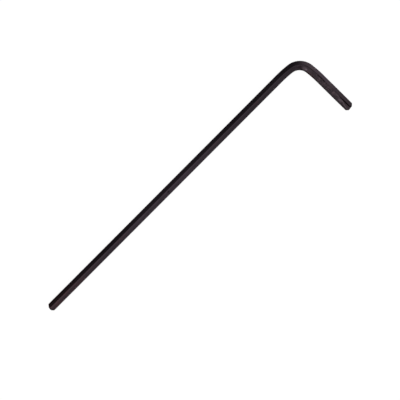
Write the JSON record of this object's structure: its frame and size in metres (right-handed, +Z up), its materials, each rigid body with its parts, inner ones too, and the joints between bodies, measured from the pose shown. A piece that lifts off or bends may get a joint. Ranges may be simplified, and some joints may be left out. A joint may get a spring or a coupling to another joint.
{
  "type": "hex key",
  "caption": "Long-arm L-shaped hex key in dark steel, with chamfered tips and a plain pressed panel on its short arm.",
  "frame": {"origin": "centre of the bounding box at its bottom, on the surface that the key lies on", "axes": "+X along the long arm from its tip to the bend, -Y along the short arm from the bend to its tip, +Z up"},
  "size_m": [0.0833, 0.0174, 0.0022],
  "materials": {
    "black_oxide_steel": "drawn bar, heat treated and black oxide finished, semi-matt"
  },
  "bodies": {
    "root": {"hex_key": "black_oxide_steel"}
  },
  "joints": []
}
